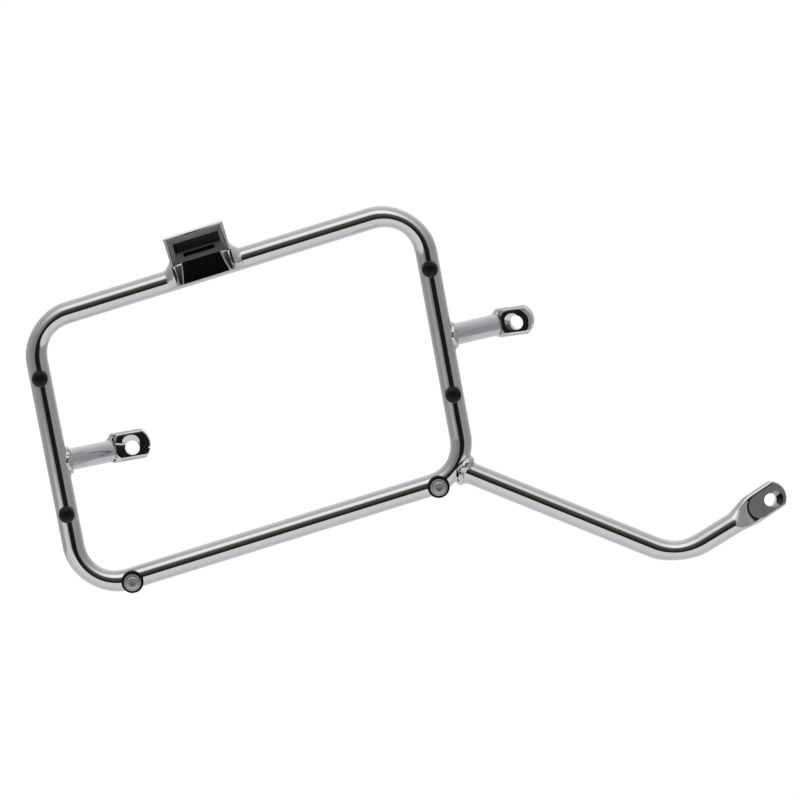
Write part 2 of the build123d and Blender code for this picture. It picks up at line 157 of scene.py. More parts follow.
RING_SEGMENTS = 96
BEND_STEPS = 24
ROUND_STEPS = 6
PRESS_STEPS = 20
FLAT_STEPS = 72

# How far a cutter runs past what it cuts, and how far inside the CAD box a stay's back is held
PAST = 4 * MM
BOX_MARGIN = 0.01 * MM

FORWARD = Vector((1, 0, 0))
TOWARDS_BIKE = Vector((0, 1, 0))
UP = Vector((0, 0, 1))

nodes = frame["nodes"]
mounts = {mount["name"]: mount for mount in frame["record"]["mounts"]}


# Layout

loop_low, loop_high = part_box("frame_loop")
REAR_CORNER = Vector((
    mounts["rear_case_support"]["pos_m"][0] - DISC_REAR_INSET,
    (loop_low.y + loop_high.y) / 2,
    loop_low.z + TUBE_RADIUS,
))
CORNERS = [
    REAR_CORNER,
    REAR_CORNER + FORWARD * LOOP_LENGTH,
    REAR_CORNER + FORWARD * (LOOP_LENGTH + LOOP_RAKE) + UP * LOOP_HEIGHT,
    REAR_CORNER + FORWARD * LOOP_RAKE + UP * LOOP_HEIGHT,
]
UPRIGHT = (CORNERS[3] - CORNERS[0]).normalized()


def on_upright(side, height):
    """Point of an upright's centre line at a height above the bottom rail."""
    foot = CORNERS[0] if side == "rear" else CORNERS[1]
    return foot + UPRIGHT * (height / UPRIGHT.z)


def placing(point, ahead, across, out):
    """Placing matrix at a point, from the ways that a piece's own axes go."""
    return Matrix.Translation(point) @ Matrix((ahead, across, out)).transposed().to_4x4()


def facing_out(point):
    """Placing matrix at a point of a tube's centre line, with its z axis away from the bike."""
    return placing(point, FORWARD, UP, -TOWARDS_BIKE)


# Hand tools

def select_only(piece):
    """Make one piece the only selected and the active one."""
    bpy.ops.object.select_all(action="DESELECT")
    piece.select_set(True)
    bpy.context.view_layer.objects.active = piece


def added(primitive, **settings):
    """Start a piece from a primitive at its size and place."""
    bpy.ops.object.select_all(action="DESELECT")
    primitive(**settings)
    bpy.ops.object.transform_apply()
    return bpy.context.object


def edit_all(piece):
    """Open a piece in edit mode with all of it selected."""
    select_only(piece)
    bpy.ops.object.mode_set(mode="EDIT")
    bpy.ops.mesh.select_all(action="SELECT")


def joined(pieces):
    """Join pieces into the first of them."""
    bpy.ops.object.select_all(action="DESELECT")
    for piece in pieces:
        piece.select_set(True)
    bpy.context.view_layer.objects.active = pieces[0]
    bpy.ops.object.join()
    return bpy.context.object


def apply_modifier(piece, kind, **settings):
    """Add a modifier with its settings and apply it."""
    modifier = piece.modifiers.new(kind, kind)
    for name, value in settings.items():
        setattr(modifier, name, value)
    select_only(piece)
    bpy.ops.object.modifier_apply(modifier=modifier.name)


def clean(piece, smooth_angle=radians(35), merge=0.005 * MM):
    """Merge doubles, turn the faces outwards and shade the piece."""
    edit_all(piece)
    bpy.ops.mesh.remove_doubles(threshold=merge)
    bpy.ops.mesh.normals_make_consistent(inside=False)
    bpy.ops.object.mode_set(mode="OBJECT")
    bpy.ops.object.shade_smooth_by_angle(angle=smooth_angle)


def cut(piece, cutter, operation="DIFFERENCE", tolerant=False):
    """Take a cutter out of a piece and throw the cutter away."""
    apply_modifier(
        piece, "BOOLEAN", operation=operation, object=cutter, solver="EXACT", use_self=tolerant,
        use_hole_tolerant=tolerant)
    bpy.data.objects.remove(cutter)


def place(piece, matrix):
    """Put a piece that was made at the origin in its place."""
    select_only(piece)
    piece.matrix_world = matrix
    bpy.ops.object.transform_apply()


def copy_of(piece, name):
    """Copy of a piece with its own mesh."""
    select_only(piece)
    bpy.ops.object.duplicate(linked=False)
    twin = bpy.context.object
    twin.name = name
    return twin


def fit(piece, node, material):
    """Let a finished piece stand for its CAD node."""
    piece.data.materials.clear()
    piece.data.materials.append(material)
    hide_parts(node)
    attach(piece, "root")
    return piece


def start_ring(name, centre, along, radius, segments=RING_SEGMENTS):
    """A ring square to a run, in edit mode and selected, ready to be drawn out."""
    piece = added(
        bpy.ops.mesh.primitive_circle_add, vertices=segments, radius=radius, location=centre,
        rotation=along.to_track_quat("Z", "Y").to_euler())
    piece.name = name
    edit_all(piece)
    return piece


def draw_out(run, steps=1):
    """Draw the selected ring out along a straight run."""
    for _ in range(steps):
        bpy.ops.mesh.extrude_region_move(TRANSFORM_OT_translate={"value": run / steps})


def bend_of(before, corner, after, radius):
    """Start, end, centre, axis and angle of the arc that rounds a corner."""
    back = (before - corner).normalized()
    ahead = (after - corner).normalized()
    half_angle = back.angle(ahead) / 2
    tangent = radius / tan(half_angle)
    centre = corner + (back + ahead).normalized() * (radius / sin(half_angle))
    start = corner + back * tangent
    end = corner + ahead * tangent
    axis = (start - centre).cross(end - centre).normalized()
    return start, end, centre, axis, pi - 2 * half_angle


def draw_bend(bend):
    """Spin the selected ring round a bend, squeezed across the bend's middle."""
    start, end, centre, axis, angle = bend
    squeeze = 1.0
    for step in range(1, BEND_STEPS + 1):
        bpy.ops.mesh.spin(steps=1, angle=-angle / BEND_STEPS, center=centre, axis=axis, dupli=False)
        turned = Matrix.Rotation(angle * step / BEND_STEPS, 3, axis) @ (start - centre)
        radial = turned.normalized()
        wanted = 1 - BEND_SQUEEZE * sin(pi * step / BEND_STEPS) ** 2
        bpy.ops.transform.resize(
            value=(wanted / squeeze, 1, 1), orient_type="GLOBAL", orient_matrix_type="GLOBAL",
            orient_matrix=Matrix((radial, axis, radial.cross(axis))).transposed(),
            center_override=centre + turned)
        squeeze = wanted


def turned_piece(name, profile, matrix, segments=64):
    """Turned piece: a disc drawn up ring by ring through (radius, height) points."""
    radius, height = profile[0]
    piece = added(
        bpy.ops.mesh.primitive_circle_add, vertices=segments, radius=radius, fill_type="NGON", location=(0, 0, height))
    piece.name = name
    edit_all(piece)
    for wider, higher in profile[1:]:
        bpy.ops.mesh.extrude_region_move(TRANSFORM_OT_translate={"value": (0, 0, higher - height)})
        bpy.ops.transform.resize(value=(wider / radius, wider / radius, 1), center_override=(0, 0, higher))
        radius, height = wider, higher
    bpy.ops.object.mode_set(mode="OBJECT")
    place(piece, matrix)
    clean(piece)
    return piece


def quarter_round(outer, top, radius, steps=ROUND_STEPS):
    """Profile points of a rounded upper edge, from its side to its top."""
    angles = [pi / 2 * i / steps for i in range(steps + 1)]
    return [(outer - radius + radius * cos(a), top - radius + radius * sin(a)) for a in angles]


# Node helpers

def maths(tree, operation, *values):
    """Maths node fed with sockets and numbers; gives its result."""
    node = tree.nodes.new("ShaderNodeMath")
    node.operation = operation
    for i, value in enumerate(values):
        if isinstance(value, (int, float)):
            node.inputs[i].default_value = value
        else:
            tree.links.new(value, node.inputs[i])
    return node.outputs["Value"]


def vectors(tree, operation, *values):
    """Vector maths node fed with sockets and vectors; gives its result."""
    node = tree.nodes.new("ShaderNodeVectorMath")
    node.operation = operation
    for i, value in enumerate(values):
        if isinstance(value, (tuple, Vector)):
            node.inputs[i].default_value = value
        else:
            tree.links.new(value, node.inputs[i])
    return node.outputs["Value" if operation == "DOT_PRODUCT" else "Vector"]


def dot(tree, first, second):
    """How far one vector goes along another."""
    return vectors(tree, "DOT_PRODUCT", first, second)


def length_of(tree, first, second):
    """Length of two values at right angles."""
    squares = [maths(tree, "MULTIPLY", value, value) for value in (first, second)]
    return maths(tree, "SQRT", maths(tree, "ADD", *squares))


def blend(tree, share, first, second):
    """Mix of two colours by a share from 0 to 1."""
    node = tree.nodes.new("ShaderNodeMix")
    node.data_type = "RGBA"
    tree.links.new(share, node.inputs["Factor"])
    for label, value in (("A", first), ("B", second)):
        if isinstance(value, tuple):
            node.inputs[label].default_value = value
        else:
            tree.links.new(value, node.inputs[label])
    return node.outputs["Result"]


def step_between(tree, value, low, high):
    """Smooth step from 0 at one value to 1 at another."""
    node = tree.nodes.new("ShaderNodeMapRange")
    node.interpolation_type = "SMOOTHSTEP"
    node.inputs["From Min"].default_value = min(low, high)
    node.inputs["From Max"].default_value = max(low, high)
    node.inputs["To Min"].default_value = 0.0 if low < high else 1.0
    node.inputs["To Max"].default_value = 1.0 if low < high else 0.0
    tree.links.new(value, node.inputs["Value"])
    return node.outputs["Result"]


def fourth_power(tree, value):
    """Fourth power of a value of either sign."""
    square = maths(tree, "MULTIPLY", value, value)
    return maths(tree, "MULTIPLY", square, square)


def node_group(name, outputs, inputs):
    """Empty shader node group with its sockets, and the ends to wire."""
    group = bpy.data.node_groups.new(name, "ShaderNodeTree")
    for label, value in inputs.items():
        kind = "NodeSocketVector" if isinstance(value, tuple) else "NodeSocketFloat"
        socket = group.interface.new_socket(name=label, in_out="INPUT", socket_type=kind)
        socket.default_value = value
    for label in outputs:
        kind = "NodeSocketVector" if label == "Normal" else "NodeSocketFloat"
        group.interface.new_socket(name=label, in_out="OUTPUT", socket_type=kind)
    return group, group.nodes.new("NodeGroupInput"), group.nodes.new("NodeGroupOutput")


# Finishes

# Range of the broad noise that is spread over the roughness, and the share of fine marks in the bump
MARKS_RANGE = (0.35, 0.65)
FINE_SHARE = 0.3
BUMP_DISTANCE = 0.05 * MM

# Leaned patch: its ragged edge, where it fades out, and how squarely a face has to look along the eye's axis
RAGGED_SCALE = 380
RAGGED_DEPTH = 1.6 * MM
PATCH_FADE = (-1.1 * MM, -0.5 * MM)
PATCH_FACING = (0.80, 0.90)


def handling_marks():
    """Fine marks in a surface: how rough it is from place to place, and a height for its bump."""
    group, given, result = node_group(
        "handling_marks", ["Roughness", "Height", "Mask"],
        {"Scale": 300.0, "Fine Scale": 2500.0, "Low": 0.05, "High": 0.1})
    link = group.links.new
    coordinates = group.nodes.new("ShaderNodeTexCoord")
    patterns = []
    for scale, detail in (("Scale", 4), ("Fine Scale", 2)):
        pattern = group.nodes.new("ShaderNodeTexNoise")
        pattern.inputs["Detail"].default_value = detail
        link(coordinates.outputs["Object"], pattern.inputs["Vector"])
        link(given.outputs[scale], pattern.inputs["Scale"])
        patterns.append(pattern.outputs["Fac"])
    broad, fine = patterns
    spread = group.nodes.new("ShaderNodeMapRange")
    spread.inputs["From Min"].default_value = MARKS_RANGE[0]
    spread.inputs["From Max"].default_value = MARKS_RANGE[1]
    link(broad, spread.inputs["Value"])
    link(given.outputs["Low"], spread.inputs["To Min"])
    link(given.outputs["High"], spread.inputs["To Max"])
    link(spread.outputs["Result"], result.inputs["Roughness"])
    link(maths(group, "MULTIPLY_ADD", fine, FINE_SHARE, broad), result.inputs["Height"])
    link(broad, result.inputs["Mask"])
    return group


MARKS = handling_marks()


def leaned_face():
    """Normal of a pressed face, leaned along its eye inside a rounded patch with a ragged edge."""
    group, given, result = node_group(
        "leaned_face", ["Normal", "Mask"],
        {"Eye": (0, 0, 0), "Ahead": (1, 0, 0), "Across": (0, 0, 1), "Axis": (0, -1, 0),
         "Back": 0.0, "Front": 0.0, "Radius": 0.01, "Lean": 0.0})
    place_at = group.nodes.new("ShaderNodeTexCoord").outputs["Object"]
    normal = group.nodes.new("ShaderNodeNewGeometry").outputs["Normal"]
    offset = vectors(group, "SUBTRACT", place_at, given.outputs["Eye"])
    along = dot(group, offset, given.outputs["Ahead"])
    beside = dot(group, offset, given.outputs["Across"])
    held = maths(
        group, "MINIMUM", maths(group, "MAXIMUM", along, given.outputs["Back"]), given.outputs["Front"])
    along = maths(group, "SUBTRACT", along, held)
    reach = length_of(group, along, beside)
    ragged = group.nodes.new("ShaderNodeTexNoise")
    ragged.inputs["Scale"].default_value = RAGGED_SCALE
    group.links.new(place_at, ragged.inputs["Vector"])
    reach = maths(group, "MULTIPLY_ADD", ragged.outputs["Fac"], RAGGED_DEPTH, reach)
    inside = maths(group, "SUBTRACT", given.outputs["Radius"], reach)
    facing = dot(group, normal, given.outputs["Axis"])
    mask = maths(
        group, "MULTIPLY", step_between(group, inside, *PATCH_FADE), step_between(group, facing, *PATCH_FACING))
    tilt = vectors(
        group, "MULTIPLY", given.outputs["Ahead"], maths(group, "MULTIPLY", mask, given.outputs["Lean"]))
    leaned = vectors(group, "NORMALIZE", vectors(group, "ADD", normal, tilt))
    group.links.new(leaned, result.inputs["Normal"])
    group.links.new(mask, result.inputs["Mask"])
    return group


LEANED_FACE = leaned_face()


def finish_material(name, dark, light, rough, scale, fine_scale, bump, lean=None, painted_shade=None, **plain):
    """Material whose colour, roughness and bump vary with the handling marks, and which can carry painted shade over a
    leaned face patch.
    """
    material = bpy.data.materials.new(name)
    material.use_nodes = True
    tree = material.node_tree
    link = tree.links.new
    surface = tree.nodes["Principled BSDF"]
    for socket, value in plain.items():
        surface.inputs[socket.replace("_", " ")].default_value = value
    marks = tree.nodes.new("ShaderNodeGroup")
    marks.node_tree = MARKS
    for socket, value in zip(("Scale", "Fine Scale", "Low", "High"), (scale, fine_scale, *rough)):
        marks.inputs[socket].default_value = value
    colour = blend(tree, marks.outputs["Mask"], (*dark, 1), (*light, 1))
    link(marks.outputs["Roughness"], surface.inputs["Roughness"])
    raised = tree.nodes.new("ShaderNodeBump")
    raised.inputs["Strength"].default_value = bump
    raised.inputs["Distance"].default_value = BUMP_DISTANCE
    link(marks.outputs["Height"], raised.inputs["Height"])
    link(raised.outputs["Normal"], surface.inputs["Normal"])
    if lean:
        face = tree.nodes.new("ShaderNodeGroup")
        face.node_tree = LEANED_FACE
        for socket, value in lean.items():
            face.inputs[socket].default_value = value
        link(face.outputs["Normal"], raised.inputs["Normal"])
        # Painted shade: the leaned patch's colour is blended towards a darker grey that stands in for the face's
        # darker reflection
        if painted_shade:
            colour = blend(tree, face.outputs["Mask"], colour, (*painted_shade, 1))
    link(colour, surface.inputs["Base Color"])
    return material


CHROME_LOOK = ((0.590, 0.605, 0.630), (0.625, 0.640, 0.660), (0.04, 0.07), 160, 700, 0.02)
CHROME = finish_material("chrome", *CHROME_LOOK, Metallic=1.0)
WELD_CHROME = finish_material(
    "weld_chrome", (0.56, 0.56, 0.57), (0.64, 0.64, 0.645), (0.08, 0.16), 500, 1500, 0.20, Metallic=1.0)
BUFFER_RUBBER = finish_material(
    "buffer_rubber", (0.002, 0.0025, 0.003), (0.004, 0.0045, 0.005), (0.30, 0.40), 700, 5000, 0.15,
    Specular_IOR_Level=0.22)
DISC_PLASTIC = finish_material(
    "disc_plastic", (0.002, 0.002, 0.002), (0.004, 0.004, 0.004), (0.45, 0.60), 600, 4000, 0.15,
    Specular_IOR_Level=0.12)
BRIGHT_STEEL = finish_material(
    "bright_steel", (0.40, 0.41, 0.43), (0.52, 0.53, 0.55), (0.36, 0.50), 900, 4500, 0.20, Metallic=1.0)
ZINC_STEEL = finish_material(
    "zinc_steel", (0.46, 0.45, 0.42), (0.60, 0.59, 0.56), (0.30, 0.45), 900, 4500, 0.30, Metallic=1.0)


# Sloping face that holds the slot: the way out of it, and its front edge towards the bike
SLOPE_OUT = Vector((0, -0.683, 0.731))
SLOPE_FRONT = -8.0 * MM

# Colours of the guide block, and where each comes in: painted shade by depth, painted shade by how level a face is,
# painted shade by place under the slope
RAMP_BLACK = (0.002, 0.002, 0.003, 1)
RAMP_ROUGHNESS = 0.07
RAMP_LINE = 0.3 * MM
LEVEL_PAINTED_SHADE = (0.075, 0.078, 0.080, 1)
LEVEL_SHADE_RANGE = (0.3, 0.6)
DEEP_PAINTED_SHADE = (0.006, 0.006, 0.007, 1)
DEEP_SHADE_RANGE = (-1.5 * MM, 0.4 * MM)
SLOT_PAINTED_SHADE = (0.002, 0.002, 0.002, 1)
SLOT_SHADE_RANGE = (-0.1 * MM, -0.35 * MM)


def guide_material(middle, edge):
    """Plastic that is glossy black on the ramp and grey in the mouth above it, with painted shade on its level faces,
    deep inside and in the slot.
    """
    material = finish_material(
        "guide_plastic", (0.172, 0.178, 0.178), (0.208, 0.213, 0.213), (0.26, 0.36), 500, 3000, 0.03,
        Specular_IOR_Level=0.2)
    tree = material.node_tree
    surface = tree.nodes["Principled BSDF"]
    base, rough = surface.inputs["Base Color"], surface.inputs["Roughness"]
    lining, lining_rough = base.links[0].from_socket, rough.links[0].from_socket
    place_at = vectors(tree, "SUBTRACT", tree.nodes.new("ShaderNodeTexCoord").outputs["Object"], middle)
    height = dot(tree, place_at, UP)
    depth = dot(tree, place_at, TOWARDS_BIKE)
    level = dot(tree, tree.nodes.new("ShaderNodeNewGeometry").outputs["Normal"], UP)
    above = dot(tree, place_at, SLOPE_OUT)
    above = maths(tree, "SUBTRACT", above, SLOPE_OUT.dot(Vector((0, SLOPE_FRONT, edge))))
    # Painted shade: faces that look upwards are darkened
    lining = blend(tree, step_between(tree, level, *LEVEL_SHADE_RANGE), lining, LEVEL_PAINTED_SHADE)
    # Painted shade: the lining darkens the deeper it lies inside the mouth, towards the bike
    lining = blend(tree, step_between(tree, depth, *DEEP_SHADE_RANGE), lining, DEEP_PAINTED_SHADE)
    # Painted shade: the slot under the slope face is painted near black
    lining = blend(tree, step_between(tree, above, *SLOT_SHADE_RANGE), lining, SLOT_PAINTED_SHADE)
    upper = step_between(tree, height, edge - RAMP_LINE, edge + RAMP_LINE)
    tree.links.new(blend(tree, upper, RAMP_BLACK, lining), base)
    extra_rough = maths(tree, "SUBTRACT", lining_rough, RAMP_ROUGHNESS)
    tree.links.new(maths(tree, "MULTIPLY_ADD", upper, extra_rough, RAMP_ROUGHNESS), rough)
    return material


# Loop

def make_loop():
    """One tube drawn right round the four bends and closed on itself."""
    bends = [
        bend_of(CORNERS[i - 1], CORNERS[i], CORNERS[(i + 1) % 4], LOOP_BEND_RADIUS) for i in range(4)]
    place_at = bends[0][1]
    loop = start_ring("loop_tube", place_at, FORWARD, TUBE_RADIUS)
    for i in (1, 2, 3, 0):
        draw_out(bends[i][0] - place_at)
        draw_bend(bends[i])
        place_at = bends[i][1]
    bpy.ops.object.mode_set(mode="OBJECT")
    clean(loop, merge=0.05 * MM)
    return fit(loop, "frame_loop", CHROME)


# Pressed ends

FLAT_HALF = pi / 4 * (2 * TUBE_RADIUS - EYE_THICKNESS)
EDGE_RADIUS = EYE_THICKNESS / 2


def flattened(angle):
    """Point (across, through) of the pressed section that a point of the round one goes to."""
    run = abs(angle) * TUBE_RADIUS
    side = 1 if angle >= 0 else -1
    edge = EDGE_RADIUS * pi / 2
    if run <= edge:
        return FLAT_HALF + EDGE_RADIUS * cos(run / EDGE_RADIUS), side * EDGE_RADIUS * sin(run / EDGE_RADIUS)
    if run <= edge + 2 * FLAT_HALF:
        return FLAT_HALF - (run - edge), side * EDGE_RADIUS
    left = (pi * TUBE_RADIUS - run) / EDGE_RADIUS
    return -FLAT_HALF - EDGE_RADIUS * cos(left), side * EDGE_RADIUS * sin(left)


def eased(share):
    """Smooth step of a share, held between 0 and 1."""
    share = min(1.0, max(0.0, share))
    return share * share * (3 - 2 * share)


def dish(ahead, across, bore, width, slope, way):
    """How far a face sinks beside its bore, most on one side of it."""
    side = max(0.0, cos(atan2(across, ahead) - way))
    beyond = max(0.0, hypot(ahead, across) - bore / 2)
    return -slope * max(0.0, width * side - beyond)


# Face of each eye, by places ahead of the eye and across it: a bent line behind it is (place, middle, curve)
REAR_LINE = (-17.5 * MM, -2 * MM, 0.021 / MM)
REAR_STEP = 0.9 * MM
REAR_STEP_WIDTH = 3.0 * MM
REAR_STEP_SPREAD = 0.07 / MM
REAR_STEP_EDGE = 0.7 * MM
GROOVE_END = -5 * MM
GROOVE_FROM = (-5.5 * MM, 3.2 * MM)
GROOVE_SLOPE = 0.222
GROOVE_HALF = 0.9 * MM
GROOVE_STEEPNESS = 0.35
FRONT_LINE = (-14.9 * MM, 0.0, 0.023 / MM)
FRONT_STEP = 0.5 * MM
FRONT_STEP_WIDTH = 1.8 * MM
FRONT_STEP_RUN = 1.4 * MM
STRUT_ARC = (-9.7 * MM, 11.7 * MM)

# One-sided dishes: width, steepness and the way that they open
REAR_DISH = (4.9 * MM, 0.27, radians(98))
FRONT_DISH = (4.0 * MM, 0.40, radians(165))
STRUT_DISH = (5.5 * MM, 0.30, radians(-25))


def bent_line(line, across):
    """Place along an eye of the bent line behind it."""
    back, middle, curve = line
    return back + curve * (across - middle) ** 2


def rear_start(across):
    """Where the rear eye's flat starts."""
    return bent_line(REAR_LINE, across) - 1.0 * MM


def rear_relief(ahead, across):
    """Step behind a bent line, a groove to the bore and a one-sided dish."""
    width = REAR_STEP_WIDTH + REAR_STEP_SPREAD * min(0.0, across) ** 2
    step = -REAR_STEP * eased((bent_line(REAR_LINE, across) + width - ahead) / (width - REAR_STEP_EDGE))
    groove_line = GROOVE_FROM[1] + GROOVE_SLOPE * (GROOVE_FROM[0] - ahead)
    groove = 0.0
    if ahead < GROOVE_END:
        groove = -GROOVE_STEEPNESS * max(0.0, GROOVE_HALF - abs(across - groove_line))
    return step + groove + dish(ahead, across, STAY_EYE_BORE, *REAR_DISH)


def front_start(across):
    """Where the front eye's flat starts."""
    return bent_line(FRONT_LINE, across) - 0.7 * MM


def front_relief(ahead, across):
    """Narrow step behind a bent line and a one-sided dish."""
    step = -FRONT_STEP * eased((bent_line(FRONT_LINE, across) + FRONT_STEP_WIDTH - ahead) / FRONT_STEP_RUN)
    return step + dish(ahead, across, STAY_EYE_BORE, *FRONT_DISH)


def strut_start(across):
    """Where the strut eye's flat starts."""
    middle, radius = STRUT_ARC
    return middle - sqrt(max(0.0, radius ** 2 - across ** 2))


def strut_relief(ahead, across):
    """One-sided dish."""
    return dish(ahead, across, STRUT_EYE_BORE, *STRUT_DISH)


# How hard the shoulder of a pressed end is pulled along the tube: at its edges, and how much more on its face
SHOULDER_PULL = 0.43
SHOULDER_PULL_FACE = 0.47

# Share of a pressed section's thickness above which its face carries the relief
RELIEF_FROM = 0.6


@dataclass
class PressedEnd:
    """Places of one tube end that is pressed from round to flat and cranked to its eye."""

    eye: Vector
    axis: Vector
    across: Vector
    reach: float
    press_start: Vector
    along: Vector
    press_length: float
    raised: float
    tip: float
    spread: float
    start: Callable
    relief: Callable

    def __post_init__(self):
        self.ahead = self.across.cross(self.axis).normalized()
        self.flat_length = self.reach + self.tip + 1 * MM
        self.tube_across = (self.across - self.along * self.across.dot(self.along)).normalized()
        self.tube_through = self.along.cross(self.tube_across)

    def moved(self, point):
        """Where a point of the straight round tube goes when its end is pressed."""
        offset = point - self.press_start
        distance = offset.dot(self.along)
        if distance <= 0:
            return point
        angle = atan2(offset.dot(self.tube_through), offset.dot(self.tube_across))
        wide, deep = flattened(angle)
        wide = wide * self.spread + self.raised
        facing = max(0.0, deep / EDGE_RADIUS)
        start = -self.reach + facing * (self.start(wide) + self.reach)
        if distance <= self.press_length:
            round_point = point - self.along * distance
            end = self.pressed(start, wide, deep)
            pull = SHOULDER_PULL + SHOULDER_PULL_FACE * deep / EDGE_RADIUS
            return self.shoulder(round_point, end, pull, distance / self.press_length)
        share = (distance - self.press_length) / self.flat_length
        return self.pressed(start + (self.tip + 1 * MM - start) * share, wide, deep)

    def pressed(self, ahead, wide, deep):
        """Point of the flat, with the relief of its outer face."""
        facing = max(0.0, deep / EDGE_RADIUS - RELIEF_FROM) / (1 - RELIEF_FROM)
        height = deep + facing ** 2 * self.relief(ahead, wide)
        return self.eye + self.ahead * ahead + self.across * wide + self.axis * height

    def shoulder(self, start, end, pull, share):
        """Smooth run between the round tube and the flat."""
        pull *= (end - start).length
        a = 2 * share ** 3 - 3 * share ** 2 + 1
        b = share ** 3 - 2 * share ** 2 + share
        c = share ** 3 - share ** 2
        return start * a + self.along * (pull * b) + end * (1 - a) + self.ahead * (pull * c)

    def placing(self):
        """Placing matrix at the eye: along it, across it and out of its face."""
        return placing(self.eye, self.ahead, self.across, self.axis)

    def lean(self, back, front, radius, degrees):
        """Settings of the leaned face patch on this eye."""
        return {
            "Eye": self.eye + self.across * LEAN_RAISE,
            "Ahead": self.ahead, "Across": self.across, "Axis": self.axis,
            "Back": back, "Front": front, "Radius": radius, "Lean": tan(radians(degrees))}


def block(size, matrix):
    """Plain block for cutting."""
    cutter = added(bpy.ops.mesh.primitive_cube_add, size=1, scale=size)
    place(cutter, matrix)
    return cutter


def eye_cutters(end, bore):
    """Cutters for the rounded tip and the bore of an eye."""
    half = EYE_THICKNESS / 2
    hole = bore / 2
    drill = turned_piece("drill", [
        (hole + EYE_RIM + PAST, -half - PAST), (hole + EYE_RIM, -half), (hole, -half + EYE_RIM),
        (hole, half + PAST)], end.placing())
    rounded = [
        (end.tip - PAST, half + PAST), (end.tip - EYE_RIM, half), (end.tip, half - EYE_RIM),
        (end.tip, -half + EYE_RIM), (end.tip - EYE_RIM, -half), (end.tip - PAST, -half - PAST)]
    outer = 3 * end.tip
    nose = turned_piece("nose", rounded, end.placing() @ Matrix.Translation((0, end.raised, 0)), segments=128)
    beyond = block((outer, 2 * outer, outer), end.placing() @ Matrix.Translation((outer / 2, 0, 0)))
    cut(beyond, nose)
    return beyond, drill


def close_ends(tube):
    """Fill both open rings of a tube."""
    edit_all(tube)
    bpy.ops.mesh.fill_holes(sides=0)
    bpy.ops.object.mode_set(mode="OBJECT")


def finish_end(tube, end, cutters):
    """Draw the flat out, press it to its places and cut its tip and bore."""
    draw_out(end.along * end.press_length, steps=PRESS_STEPS)
    draw_out(end.along * end.flat_length, steps=FLAT_STEPS)
    bpy.ops.object.mode_set(mode="OBJECT")
    for vertex in tube.data.vertices:
        vertex.co = end.moved(vertex.co.copy())
    close_ends(tube)
    clean(tube)
    for cutter in cutters:
        cut(tube, cutter, tolerant=True)
    for vertex in tube.data.vertices:
        vertex.co.y = min(vertex.co.y, cad_high[1] - BOX_MARGIN)
    clean(tube, smooth_angle=radians(32), merge=0.001 * MM)


def make_stay(side):
    """Stay drawn from its upright, pressed and bored at its eye; gives its root and direction."""
    mount = mounts[side + "_stay_eye"]
    eye = Vector(mount["pos_m"])
    axis = Vector(mount["axis"])
    ahead = UPRIGHT.cross(axis).normalized()
    root = on_upright(side, STAY_HEIGHTS[side])
    along = (eye - ahead * STAY_EYE_REACH - root).normalized()
    press_start = eye - ahead * STAY_EYE_REACH - along * STAY_PRESS_LENGTH
    if side == "rear":
        face = (REAR_RAISE, REAR_TIP_RADIUS, REAR_SPREAD, rear_start, rear_relief)
    else:
        face = (EYE_RAISE, EYE_TIP_RADIUS, 1.0, front_start, front_relief)
    end = PressedEnd(eye, axis, UPRIGHT, STAY_EYE_REACH, press_start, along, STAY_PRESS_LENGTH, *face)
    cutters = list(eye_cutters(end, STAY_EYE_BORE))
    material = CHROME
    if side == "rear":
        nick = Matrix.Translation((end.tip, NICK_ACROSS, 0))
        cutters.append(block(NICK_SIZE, end.placing() @ nick))
    else:
        material = finish_material(
            "front_eye_chrome", *CHROME_LOOK, lean=end.lean(*FRONT_LEAN), Metallic=1.0)
    tube = start_ring(side + "_stay_tube", root, along, TUBE_RADIUS, segments=128)
    draw_out(press_start - root)
    finish_end(tube, end, cutters)
    fit(tube, side + "_stay", material)
    return root, along


# Strut

FRONT_BEND = bend_of(CORNERS[0], CORNERS[1], CORNERS[2], LOOP_BEND_RADIUS)


def strut_corner():
    """Corner of the strut's centre line."""
    return CORNERS[1] + FORWARD * STRUT_RUN - UP * STRUT_FALL


def strut_root():
    """Middle of the loop's lower front bend, and the bend's direction there."""
    start, end, centre, axis, angle = FRONT_BEND
    middle = Matrix.Rotation(angle / 2, 3, axis) @ (start - centre)
    direction = middle.cross(axis).normalized()
    return centre + middle, direction if direction.z > 0 else -direction


def make_strut():
    """Strut drawn from the loop's corner, bent once, pressed and bored at its eye."""
    mount = mounts["strut_eye"]
    eye = Vector(mount["pos_m"])
    axis = Vector(mount["axis"])
    leg = FORWARD * cos(STRUT_RISE_ANGLE) + UP * sin(STRUT_RISE_ANGLE)
    root = strut_root()[0]
    corner = strut_corner()
    press_start = corner + leg * (STRUT_LEG - STRUT_PRESS_LENGTH)
    bend = bend_of(root, corner, press_start, STRUT_BEND_RADIUS)
    level = UP.cross(axis).normalized()
    ahead = (level + UP * (tan(STRUT_RISE_ANGLE) * level.xy.length)).normalized()
    across = axis.cross(ahead).normalized()
    end = PressedEnd(
        eye, axis, across, STRUT_EYE_REACH, press_start, leg, STRUT_PRESS_LENGTH,
        EYE_RAISE, EYE_TIP_RADIUS, STRUT_SPREAD, strut_start, strut_relief)
    material = finish_material(
        "strut_eye_chrome", *CHROME_LOOK, lean=end.lean(*STRUT_LEAN), painted_shade=STRUT_PAINTED_SHADE, Metallic=1.0)
    cutters = eye_cutters(end, STRUT_EYE_BORE)
    tube = start_ring("strut_tube", root, (corner - root).normalized(), TUBE_RADIUS, segments=128)
    draw_out(bend[0] - root)
    draw_bend(bend)
    draw_out(press_start - bend[1])
    finish_end(tube, end, cutters)
    return fit(tube, "lower_strut", material)


# Welds

